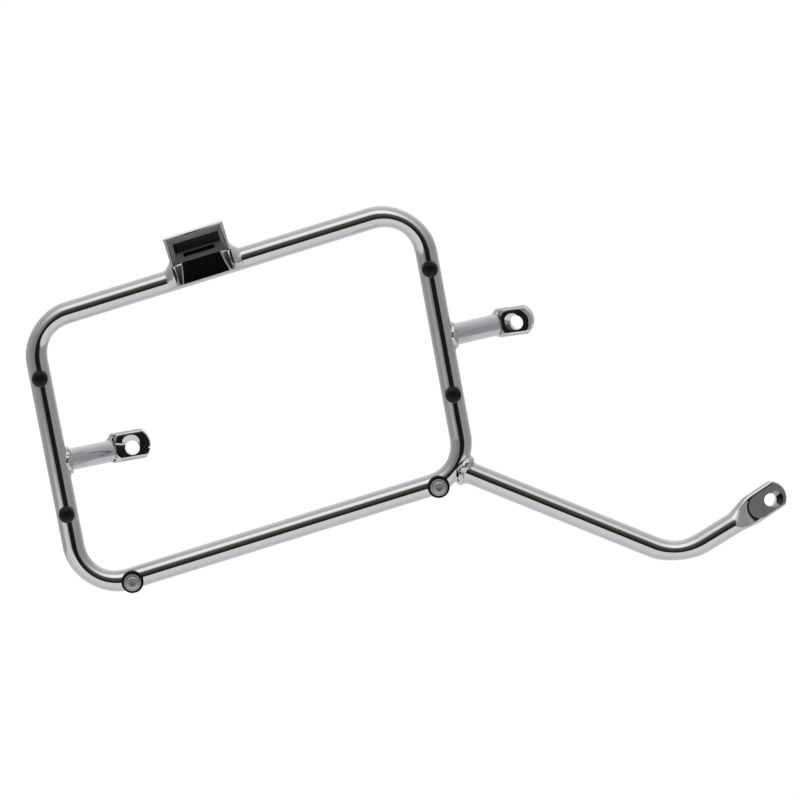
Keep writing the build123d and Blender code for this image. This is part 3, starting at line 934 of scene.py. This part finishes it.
# (radius, how far out) of the dabs above and below a branch, the radius beside it and the run-out below it
STAY_WELD = {
    "upper": (3.1 * MM, 0.6 * MM), "side_radius": 2.0 * MM, "lower": (3.9 * MM, 1.0 * MM), "trail": 8 * MM}
STRUT_WELD = {
    "upper": (4.4 * MM, 0.8 * MM), "side_radius": 2.6 * MM, "lower": (3.7 * MM, 0.7 * MM), "trail": 14 * MM}

WELD_DABS = 44
WELD_SADDLE = 0.45
WELD_SINK = 0.6 * MM
DAB_UNEVEN = 0.18
DAB_NOISE = 450
TRAIL_DABS = 8
TRAIL_TAPER = 0.45
TRAIL_DROP = 1.9 * MM
WELD_VOXEL = 0.4 * MM
WELD_SMOOTHING = 60
WELD_RIPPLE = 0.5 * MM
RIPPLE_FROM = 0.1 * MM
RIPPLE_RUN = 1.0 * MM
RIPPLE_NOISE = 330

# Lengths of tube that a weld is laid on, and the ball that it is cut to
STUB_RADIUS = 9.05 * MM
BRANCH_STUB = 26 * MM
UPRIGHT_STUB = 44 * MM
WELD_REACH = 19 * MM
WELD_MIDDLE = 9 * MM


def tube_stub(start, run):
    """Closed length of tube that a weld is laid on."""
    stub = start_ring("stub", start, run.normalized(), STUB_RADIUS)
    draw_out(run)
    bpy.ops.object.mode_set(mode="OBJECT")
    close_ends(stub)
    return stub


def bend_stub():
    """The loop's lower front bend, for the strut's weld to be laid on."""
    stub = start_ring("stub", FRONT_BEND[0], FORWARD, STUB_RADIUS)
    draw_bend(FRONT_BEND)
    bpy.ops.object.mode_set(mode="OBJECT")
    close_ends(stub)
    return stub


def weld_dab(centre, radius):
    """One dab of weld."""
    radius *= 1 + DAB_UNEVEN * noise.noise(centre * DAB_NOISE)
    return added(bpy.ops.mesh.primitive_ico_sphere_add, subdivisions=3, radius=radius, location=centre)


def off_line(point, root, along):
    """Distance of a point from a straight tube's centre line."""
    offset = point - root
    return (offset - along * offset.dot(along)).length


def off_bend(point):
    """Distance of a point from the centre line of the loop's lower front bend."""
    centre, axis = FRONT_BEND[2:4]
    offset = point - centre
    height = offset.dot(axis)
    return hypot((offset - axis * height).length - LOOP_BEND_RADIUS, height)


def ripple(bead, root, along, off_main):
    """Uneven, rippled skin where the weld stands out of both tubes."""
    for vertex, normal in zip(bead.data.vertices, [v.normal.copy() for v in bead.data.vertices]):
        proud = min(off_line(vertex.co, root, along), off_main(vertex.co)) - TUBE_RADIUS
        share = eased((proud - RIPPLE_FROM) / RIPPLE_RUN)
        vertex.co += normal * (WELD_RIPPLE * share * noise.noise(vertex.co * RIPPLE_NOISE))


def make_weld(name, node, root, along, main, main_stub, off_main, upper, side_radius, lower, trail):
    """Weld laid in dabs round the saddle between a branch tube and the loop, run out below the branch."""
    side = along.cross(main).normalized()
    lengthwise = side.cross(along).normalized()
    dabs = [main_stub, tube_stub(root, along * BRANCH_STUB)]
    for i in range(WELD_DABS):
        angle = 2 * pi * i / WELD_DABS
        rise = sin(angle)
        out = side * cos(angle) + lengthwise * rise
        crown_radius, crown_out = upper if rise > 0 else lower
        share = abs(rise) ** 1.5
        radius = side_radius + (crown_radius - side_radius) * share
        reach = TUBE_RADIUS * (WELD_SADDLE + (1 - WELD_SADDLE) * abs(rise))
        dabs.append(weld_dab(root + along * reach + out * (TUBE_RADIUS - WELD_SINK + crown_out * share), radius))
    for i in range(1, TRAIL_DABS + 1):
        share = i / TRAIL_DABS
        radius = lower[0] * (1 - TRAIL_TAPER * share)
        under = TUBE_RADIUS - radius + TRAIL_DROP * (1 - share) ** 2
        dabs.append(weld_dab(
            root + along * (TUBE_RADIUS + share * trail) - lengthwise * under, radius))
    bead = joined(dabs)
    bead.name = name
    apply_modifier(bead, "REMESH", mode="VOXEL", voxel_size=WELD_VOXEL)
    apply_modifier(bead, "SMOOTH", factor=0.5, iterations=WELD_SMOOTHING)
    ripple(bead, root, along, off_main)
    limit = added(
        bpy.ops.mesh.primitive_ico_sphere_add, subdivisions=4, radius=WELD_REACH, location=root + along * WELD_MIDDLE)
    cut(bead, limit, "INTERSECT")
    clean(bead, smooth_angle=radians(60))
    return fit(bead, node, WELD_CHROME)


# Buffers, discs, washers and screws

def moved_copy(piece, name, by):
    """Copy of a finished piece with its own mesh, moved to another place."""
    twin = copy_of(piece, name)
    bpy.ops.transform.translate(value=by)
    bpy.ops.object.transform_apply()
    return twin


def make_buffers():
    """Rubber domes: one is turned and copied to the other places on the uprights."""
    places = {name: on_upright(name.split("_")[0], height) for name, height in BUFFER_HEIGHTS.items()}
    names = list(places)
    top = TUBE_RADIUS + BUFFER_PROUD
    profile = [(BUFFER_RADIUS, BUFFER_FOOT)] + quarter_round(BUFFER_RADIUS, top, BUFFER_CROWN_RADIUS, 10)
    profile += [(BUFFER_PIP_RADIUS, top + BUFFER_PIP_HEIGHT)]
    first = turned_piece("buffer_dome_" + names[0], profile, facing_out(places[names[0]]))
    domes = [first] + [
        moved_copy(first, "buffer_dome_" + name, places[name] - places[names[0]]) for name in names[1:]]
    for name, dome in zip(names, domes):
        fit(dome, "buffer_" + name, BUFFER_RUBBER)


def make_discs():
    """Support bushes with their washers and screws: one set is made and copied to the other end of the rail."""
    top = TUBE_RADIUS + DISC_PROUD
    bush = [(DISC_RADIUS - DISC_TAPER, TUBE_RADIUS - DISC_SKIRT), (DISC_RADIUS, top - DISC_RIM_DEPTH)]
    bush += quarter_round(DISC_RADIUS, top, DISC_EDGE_RADIUS)
    base = top + WASHER_THICKNESS
    washer = [(WASHER_RADIUS, top - 0.1 * MM)] + quarter_round(WASHER_RADIUS, base, WASHER_EDGE_RADIUS)
    crown = base + SCREW_HEAD_HEIGHT - 0.03 * MM
    head = [(SCREW_HEAD_RADIUS - 0.15 * MM, base - 0.05 * MM), (SCREW_HEAD_RADIUS, base + 0.15 * MM)]
    rise = crown - base - SCREW_RIM_HEIGHT
    for i in range(SCREW_STEPS + 1):
        angle = pi / 2 * i / SCREW_STEPS
        reach = SCREW_LAND_RADIUS + (SCREW_HEAD_RADIUS - SCREW_LAND_RADIUS) * cos(angle)
        head.append((reach, base + SCREW_RIM_HEIGHT + rise * sin(angle)))
    rear, front = [
        Vector((mounts[side + "_case_support"]["pos_m"][0], REAR_CORNER.y, REAR_CORNER.z))
        for side in ("rear", "front")]
    seat = facing_out(rear)
    disc = turned_piece("support_bush_rear", bush, seat)
    ring = turned_piece("washer_rear", washer, seat)
    screw = turned_piece("screw_rear", head, seat)
    socket = turned_piece("socket", [
        (SCREW_SOCKET_RADIUS, crown - SCREW_SOCKET_DEPTH), (SCREW_SOCKET_RADIUS, crown + 1 * MM)], seat, segments=6)
    cut(screw, socket)
    clean(screw)
    sets = {"rear": (disc, ring, screw)}
    sets["front"] = [
        moved_copy(piece, piece.name.replace("rear", "front"), front - rear) for piece in sets["rear"]]
    for side, (disc, ring, screw) in sets.items():
        fit(disc, "support_disc_" + side, DISC_PLASTIC)
        fit(ring, "disc_washers", BRIGHT_STEEL)
        fit(screw, "disc_screws", BRIGHT_STEEL)


# Catch

catch_low, catch_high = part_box("catch_bracket")
CATCH_MIDDLE = Vector(((catch_low.x + catch_high.x) / 2, REAR_CORNER.y, REAR_CORNER.z + LOOP_HEIGHT))
CATCH_HALF = (catch_high.x - catch_low.x) / 2
RAMP_TOP = 12.4 * MM
CHEEK_EASE = 2.4 * MM

# Outer front edge of a cheek: (front, height) at its foot and its top
CHEEK_EDGE = ((13.6 * MM, -4.8 * MM), (8.0 * MM, 34.4 * MM))

# Cheek beside the ramp: (inner, outer, inner front, outer front) at its foot and its top, with their heights
CHEEK_FOOT = (20.0 * MM, 22.6 * MM, 13.3 * MM, 13.65 * MM, -4.6 * MM)
CHEEK_TOP = (16.4 * MM, 22.6 * MM, 10.9 * MM, 11.45 * MM, 11.2 * MM)
CHEEK_DEPTH = 5 * MM
CHEEK_ROUND = 0.3 * MM

# Block that eases a cheek's edge
EASE_BLOCK = (20 * MM, 20 * MM, 60 * MM)

# Mouth of the latch slot, and the rounding of the guide block's edges
SLOT_SIZE = (26.2 * MM, 4.4 * MM, 5.0 * MM)
GUIDE_ROUND = 0.2 * MM


def merged_copy(node, name):
    """Copy of a CAD solid with its loose triangles merged."""
    part = copy_of(nodes[node], name)
    for key in list(part.keys()):
        del part[key]
    part.parent = None
    edit_all(part)
    bpy.ops.mesh.remove_doubles(threshold=0.01 * MM)
    bpy.ops.object.mode_set(mode="OBJECT")
    return part


def edge_cutter(side):
    """Block that eases the outer front edge of one cheek."""
    foot, head = [Vector((side * CATCH_HALF, -front, height)) for front, height in CHEEK_EDGE]
    along = (head - foot).normalized()
    out = Vector((side, -1, 0))
    out = (out - along * out.dot(along)).normalized()
    middle = CATCH_MIDDLE + (foot + head) / 2 + out * (EASE_BLOCK[0] / 2 - CHEEK_EASE * sqrt(0.5))
    return block(EASE_BLOCK, placing(middle, out, along.cross(out), along))


def cheek(side):
    """Cheek that closes the housing's front beside the ramp."""
    pad = added(bpy.ops.mesh.primitive_cube_add, size=1)
    for vertex in pad.data.vertices:
        inner, outer, inner_front, outer_front, height = CHEEK_TOP if vertex.co.z > 0 else CHEEK_FOOT
        across, front = (outer, outer_front) if vertex.co.x > 0 else (inner, inner_front)
        depth = 0.0 if vertex.co.y < 0 else CHEEK_DEPTH
        vertex.co = CATCH_MIDDLE + Vector((side * across, depth - front, height))
    apply_modifier(
        pad, "BEVEL", width=CHEEK_ROUND, segments=3, limit_method="ANGLE", angle_limit=radians(30))
    return pad


def make_housing():
    """Catch housing with its outer edges eased and its cheeks filled."""
    housing = merged_copy("catch_bracket", "catch_housing")
    for side in (-1, 1):
        cut(housing, edge_cutter(side))
    housing = joined([housing, cheek(-1), cheek(1)])
    clean(housing)
    return fit(housing, "catch_bracket", CHROME)


def make_guide():
    """Guide block with its slot's mouth opened out and its edges eased."""
    guide = merged_copy("catch_insert", "catch_guide")
    edit_all(guide)
    bpy.ops.mesh.dissolve_limited(angle_limit=radians(2))
    bpy.ops.object.mode_set(mode="OBJECT")
    slot = Vector(mounts["case_latch"]["pos_m"])
    cut(guide, block(SLOT_SIZE, placing(slot, FORWARD, SLOPE_OUT.cross(FORWARD), SLOPE_OUT)))
    apply_modifier(
        guide, "BEVEL", width=GUIDE_ROUND, segments=3, limit_method="ANGLE", angle_limit=radians(30),
        use_clamp_overlap=True)
    clean(guide, smooth_angle=radians(40))
    return fit(guide, "catch_insert", guide_material(CATCH_MIDDLE, RAMP_TOP))


def make_collar(side):
    """Weld run round the rail at one end of the catch, hollow in section and uneven."""
    low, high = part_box("catch_weld_" + side)
    out = FORWARD if side == "front" else -FORWARD
    foot_x = low.x if side == "front" else high.x
    rail = Vector((foot_x, REAR_CORNER.y, REAR_CORNER.z + LOOP_HEIGHT))
    collar = start_ring("catch_bead_" + side, rail + UP * COLLAR_RAISE, out, TUBE_RADIUS + COLLAR_LEG)
    swell = 1.0
    for step in range(1, COLLAR_STEPS + 1):
        share = step / COLLAR_STEPS
        new_swell = (1 - share) ** COLLAR_HOLLOW
        drop = UP * (COLLAR_RAISE * (new_swell - swell))
        bpy.ops.mesh.extrude_region_move(
            TRANSFORM_OT_translate={"value": out * (COLLAR_LENGTH / COLLAR_STEPS) + drop})
        size = (TUBE_RADIUS + COLLAR_LEG * new_swell) / (TUBE_RADIUS + COLLAR_LEG * swell)
        middle = rail + out * (COLLAR_LENGTH * share) + UP * (COLLAR_RAISE * new_swell)
        bpy.ops.transform.resize(value=(size, size, size), center_override=middle)
        swell = new_swell
    bpy.ops.object.mode_set(mode="OBJECT")
    for vertex in collar.data.vertices:
        away = vertex.co - rail
        away -= out * away.dot(out)
        share = max(0.0, (away.length - TUBE_RADIUS) / COLLAR_LEG)
        vertex.co += away.normalized() * (COLLAR_UNEVEN * share * noise.noise(vertex.co * COLLAR_NOISE))
    close_ends(collar)
    clean(collar, smooth_angle=radians(60))
    return fit(collar, "catch_weld_" + side, WELD_CHROME)


# All the pieces

make_loop()
for side in ("rear", "front"):
    root, along = make_stay(side)
    stub = tube_stub(root - UPRIGHT * (UPRIGHT_STUB / 2), UPRIGHT * UPRIGHT_STUB)
    make_weld(
        side + "_stay_bead", side + "_stay_weld", root, along, UPRIGHT, stub,
        partial(off_line, root=root, along=UPRIGHT), **STAY_WELD)
make_strut()
root, bend_direction = strut_root()
make_weld(
    "strut_bead", "strut_weld", root, (strut_corner() - root).normalized(), bend_direction, bend_stub(),
    off_bend, **STRUT_WELD)
make_buffers()
make_discs()
make_housing()
make_guide()
for side in ("rear", "front"):
    make_collar(side)
nodes["rivet_nuts"].data.materials.clear()
nodes["rivet_nuts"].data.materials.append(ZINC_STEEL)


# Stage, light and camera

FLOOR_DROP = 0.30
FLOOR_SIZE = 40.0
FLOOR_GREY = (0.9, 0.9, 0.9, 1)
FLOOR_GLOW = 1.03
FLOOR_GLOW_SHARE = 0.9


def make_floor():
    """Plain pale floor below the frame; it glows white for the camera and keeps the shadow."""
    floor = added(bpy.ops.mesh.primitive_plane_add, size=FLOOR_SIZE, location=(0, 0, cad_low[2] - FLOOR_DROP))
    floor.name = "floor"
    floor.visible_glossy = False
    material = bpy.data.materials.new("floor")
    material.use_nodes = True
    tree = material.node_tree
    surface = tree.nodes["Principled BSDF"]
    surface.inputs["Base Color"].default_value = FLOOR_GREY
    surface.inputs["Roughness"].default_value = 0.9
    surface.inputs["Specular IOR Level"].default_value = 0.0
    glow = tree.nodes.new("ShaderNodeEmission")
    path = tree.nodes.new("ShaderNodeLightPath")
    seen = maths(tree, "MAXIMUM", path.outputs["Is Camera Ray"], path.outputs["Is Transmission Ray"])
    mix = tree.nodes.new("ShaderNodeMixShader")
    tree.links.new(maths(tree, "MULTIPLY", seen, FLOOR_GLOW_SHARE), mix.inputs["Fac"])
    tree.links.new(surface.outputs["BSDF"], mix.inputs[1])
    tree.links.new(glow.outputs["Emission"], mix.inputs[2])
    glow.inputs["Strength"].default_value = FLOOR_GLOW
    tree.links.new(mix.outputs["Shader"], tree.nodes["Material Output"].inputs["Surface"])
    floor.data.materials.append(material)


def camera_axes():
    """Right, up and back of the camera."""
    back = Vector((0, -cos(CAMERA_ELEVATION), sin(CAMERA_ELEVATION)))
    level_up = back.cross(FORWARD)
    right = FORWARD * cos(RAIL_SLOPE) - level_up * sin(RAIL_SLOPE)
    up = FORWARD * sin(RAIL_SLOPE) + level_up * cos(RAIL_SLOPE)
    return right, up, back


def make_camera():
    """Long lens at the photograph's angle, rolled so that the rails climb to the right."""
    right, up, back = camera_axes()
    distance = CAMERA_LENS * PICTURE_SIZE * MM_PER_PIXEL * MM / SENSOR_WIDTH
    data = bpy.data.cameras.new("camera")
    data.lens = CAMERA_LENS
    data.sensor_width = SENSOR_WIDTH
    data.clip_end = 100
    camera = bpy.data.objects.new("camera", data)
    bpy.context.scene.collection.objects.link(camera)
    camera.matrix_world = placing(REAR_CORNER + PICTURE_MIDDLE + back * distance, right, up, back)
    bpy.context.scene.camera = camera


# What a ray of each direction meets, by its angle from the camera's own direction: (degrees, light)
STUDIO_ABOVE = [(28, 0.30), (44, 1.40), (60, 1.42), (78, 0.68), (95, 0.72), (130, 0.92), (180, 1.0)]
STUDIO_FLOOR = [(20, 0.95), (60, 0.90), (90, 0.78), (110, 0.74), (140, 0.80), (180, 1.0)]
STUDIO_RIGHT = [(30, 0.36), (48, 0.40), (80, 0.38), (105, 0.44), (130, 0.52), (180, 0.95)]
STUDIO_LEFT = [(15, 0.26), (45, 0.30), (70, 0.40), (90, 0.42), (110, 0.47), (130, 0.52), (180, 0.95)]

# The floor shows below this angle under the camera's direction
FLOOR_EDGE = radians(-23.5)
FLOOR_SOFTNESS = radians(1.5)

# Dark side of the studio round the camera, in degrees to the right and up
DARK_MIDDLE = (10.0, 0.0)
DARK_REACH = (26.0, 31.0)
DARK_SOFTNESS = 0.16
DARK_FAINTEST = 0.011
DARK_PALEST = 0.12
DARK_TINT = (1.28, 1.0, 0.78)

# Even light for dull surfaces, and white for the camera
ROOM_LIGHT = (0.9, 0.9, 0.9, 1)
WHITE = (1, 1, 1, 1)


def light_by_angle(tree, angle, stops):
    """Light as a ramp over the angle from the camera's direction."""
    ramp = tree.nodes.new("ShaderNodeValToRGB")
    ramp.color_ramp.interpolation = "EASE"
    marks = ramp.color_ramp.elements
    while len(marks) < len(stops):
        marks.new(1.0)
    for mark, (degrees, light) in zip(marks, stops):
        mark.position = degrees / 180
        mark.color = (light / 2, light / 2, light / 2, 1)
    tree.links.new(maths(tree, "DIVIDE", angle, pi), ramp.inputs["Fac"])
    return maths(tree, "MULTIPLY", ramp.outputs["Color"], 2.0)


def make_studio():
    """White studio with a dark side round the camera, a softbox above it and a white floor below."""
    world = bpy.data.worlds.new("studio")
    world.use_nodes = True
    bpy.context.scene.world = world
    tree = world.node_tree
    right, up, back = camera_axes()
    direction = tree.nodes.new("ShaderNodeTexCoord").outputs["Generated"]
    across = dot(tree, direction, right)
    rise = dot(tree, direction, up)
    angle = maths(tree, "ARCCOSINE", dot(tree, direction, back))
    spread = maths(tree, "MAXIMUM", length_of(tree, across, rise), 0.0001)
    across = maths(tree, "DIVIDE", across, spread)
    height = maths(tree, "DIVIDE", rise, spread)

    # Side walls that go over into the softbox above
    upper = maths(tree, "POWER", maths(tree, "MAXIMUM", height, 0.0), 2.0)
    to_right = maths(tree, "MULTIPLY_ADD", across, 0.5, 0.5)
    sides = blend(
        tree, to_right, light_by_angle(tree, angle, STUDIO_LEFT), light_by_angle(tree, angle, STUDIO_RIGHT))
    walls = blend(tree, upper, sides, light_by_angle(tree, angle, STUDIO_ABOVE))

    # The dark side is a rounded oblong round the camera, paler towards its top
    degrees = maths(tree, "MULTIPLY", angle, 180 / pi)
    off_right = maths(tree, "DIVIDE", maths(
        tree, "SUBTRACT", maths(tree, "MULTIPLY", degrees, across), DARK_MIDDLE[0]), DARK_REACH[0])
    off_up = maths(tree, "DIVIDE", maths(
        tree, "SUBTRACT", maths(tree, "MULTIPLY", degrees, height), DARK_MIDDLE[1]), DARK_REACH[1])
    reach = maths(tree, "POWER", maths(
        tree, "ADD", fourth_power(tree, off_right), fourth_power(tree, off_up)), 0.25)
    paler = maths(tree, "POWER", step_between(tree, off_up, -1.0, 0.9), 2.0)
    shade = maths(tree, "MULTIPLY_ADD", paler, DARK_PALEST - DARK_FAINTEST, DARK_FAINTEST)
    warm = vectors(tree, "MULTIPLY", shade, DARK_TINT)
    room = blend(tree, step_between(tree, reach, 1 - DARK_SOFTNESS, 1 + DARK_SOFTNESS), warm, walls)

    # White floor below
    lift = maths(tree, "ARCSINE", rise)
    below = step_between(tree, lift, FLOOR_EDGE + FLOOR_SOFTNESS, FLOOR_EDGE - FLOOR_SOFTNESS)
    room = blend(tree, below, room, light_by_angle(tree, angle, STUDIO_FLOOR))

    # Plain white for the camera and through glass, even light for dull surfaces
    path = tree.nodes.new("ShaderNodeLightPath")
    plain = maths(tree, "ADD", path.outputs["Is Camera Ray"], path.outputs["Is Transmission Ray"])
    seen = blend(tree, path.outputs["Is Glossy Ray"], ROOM_LIGHT, room)
    tree.links.new(blend(tree, plain, seen, WHITE), tree.nodes["Background"].inputs["Color"])


make_floor()
make_camera()
make_studio()
bpy.context.scene.view_settings.view_transform = "Standard"
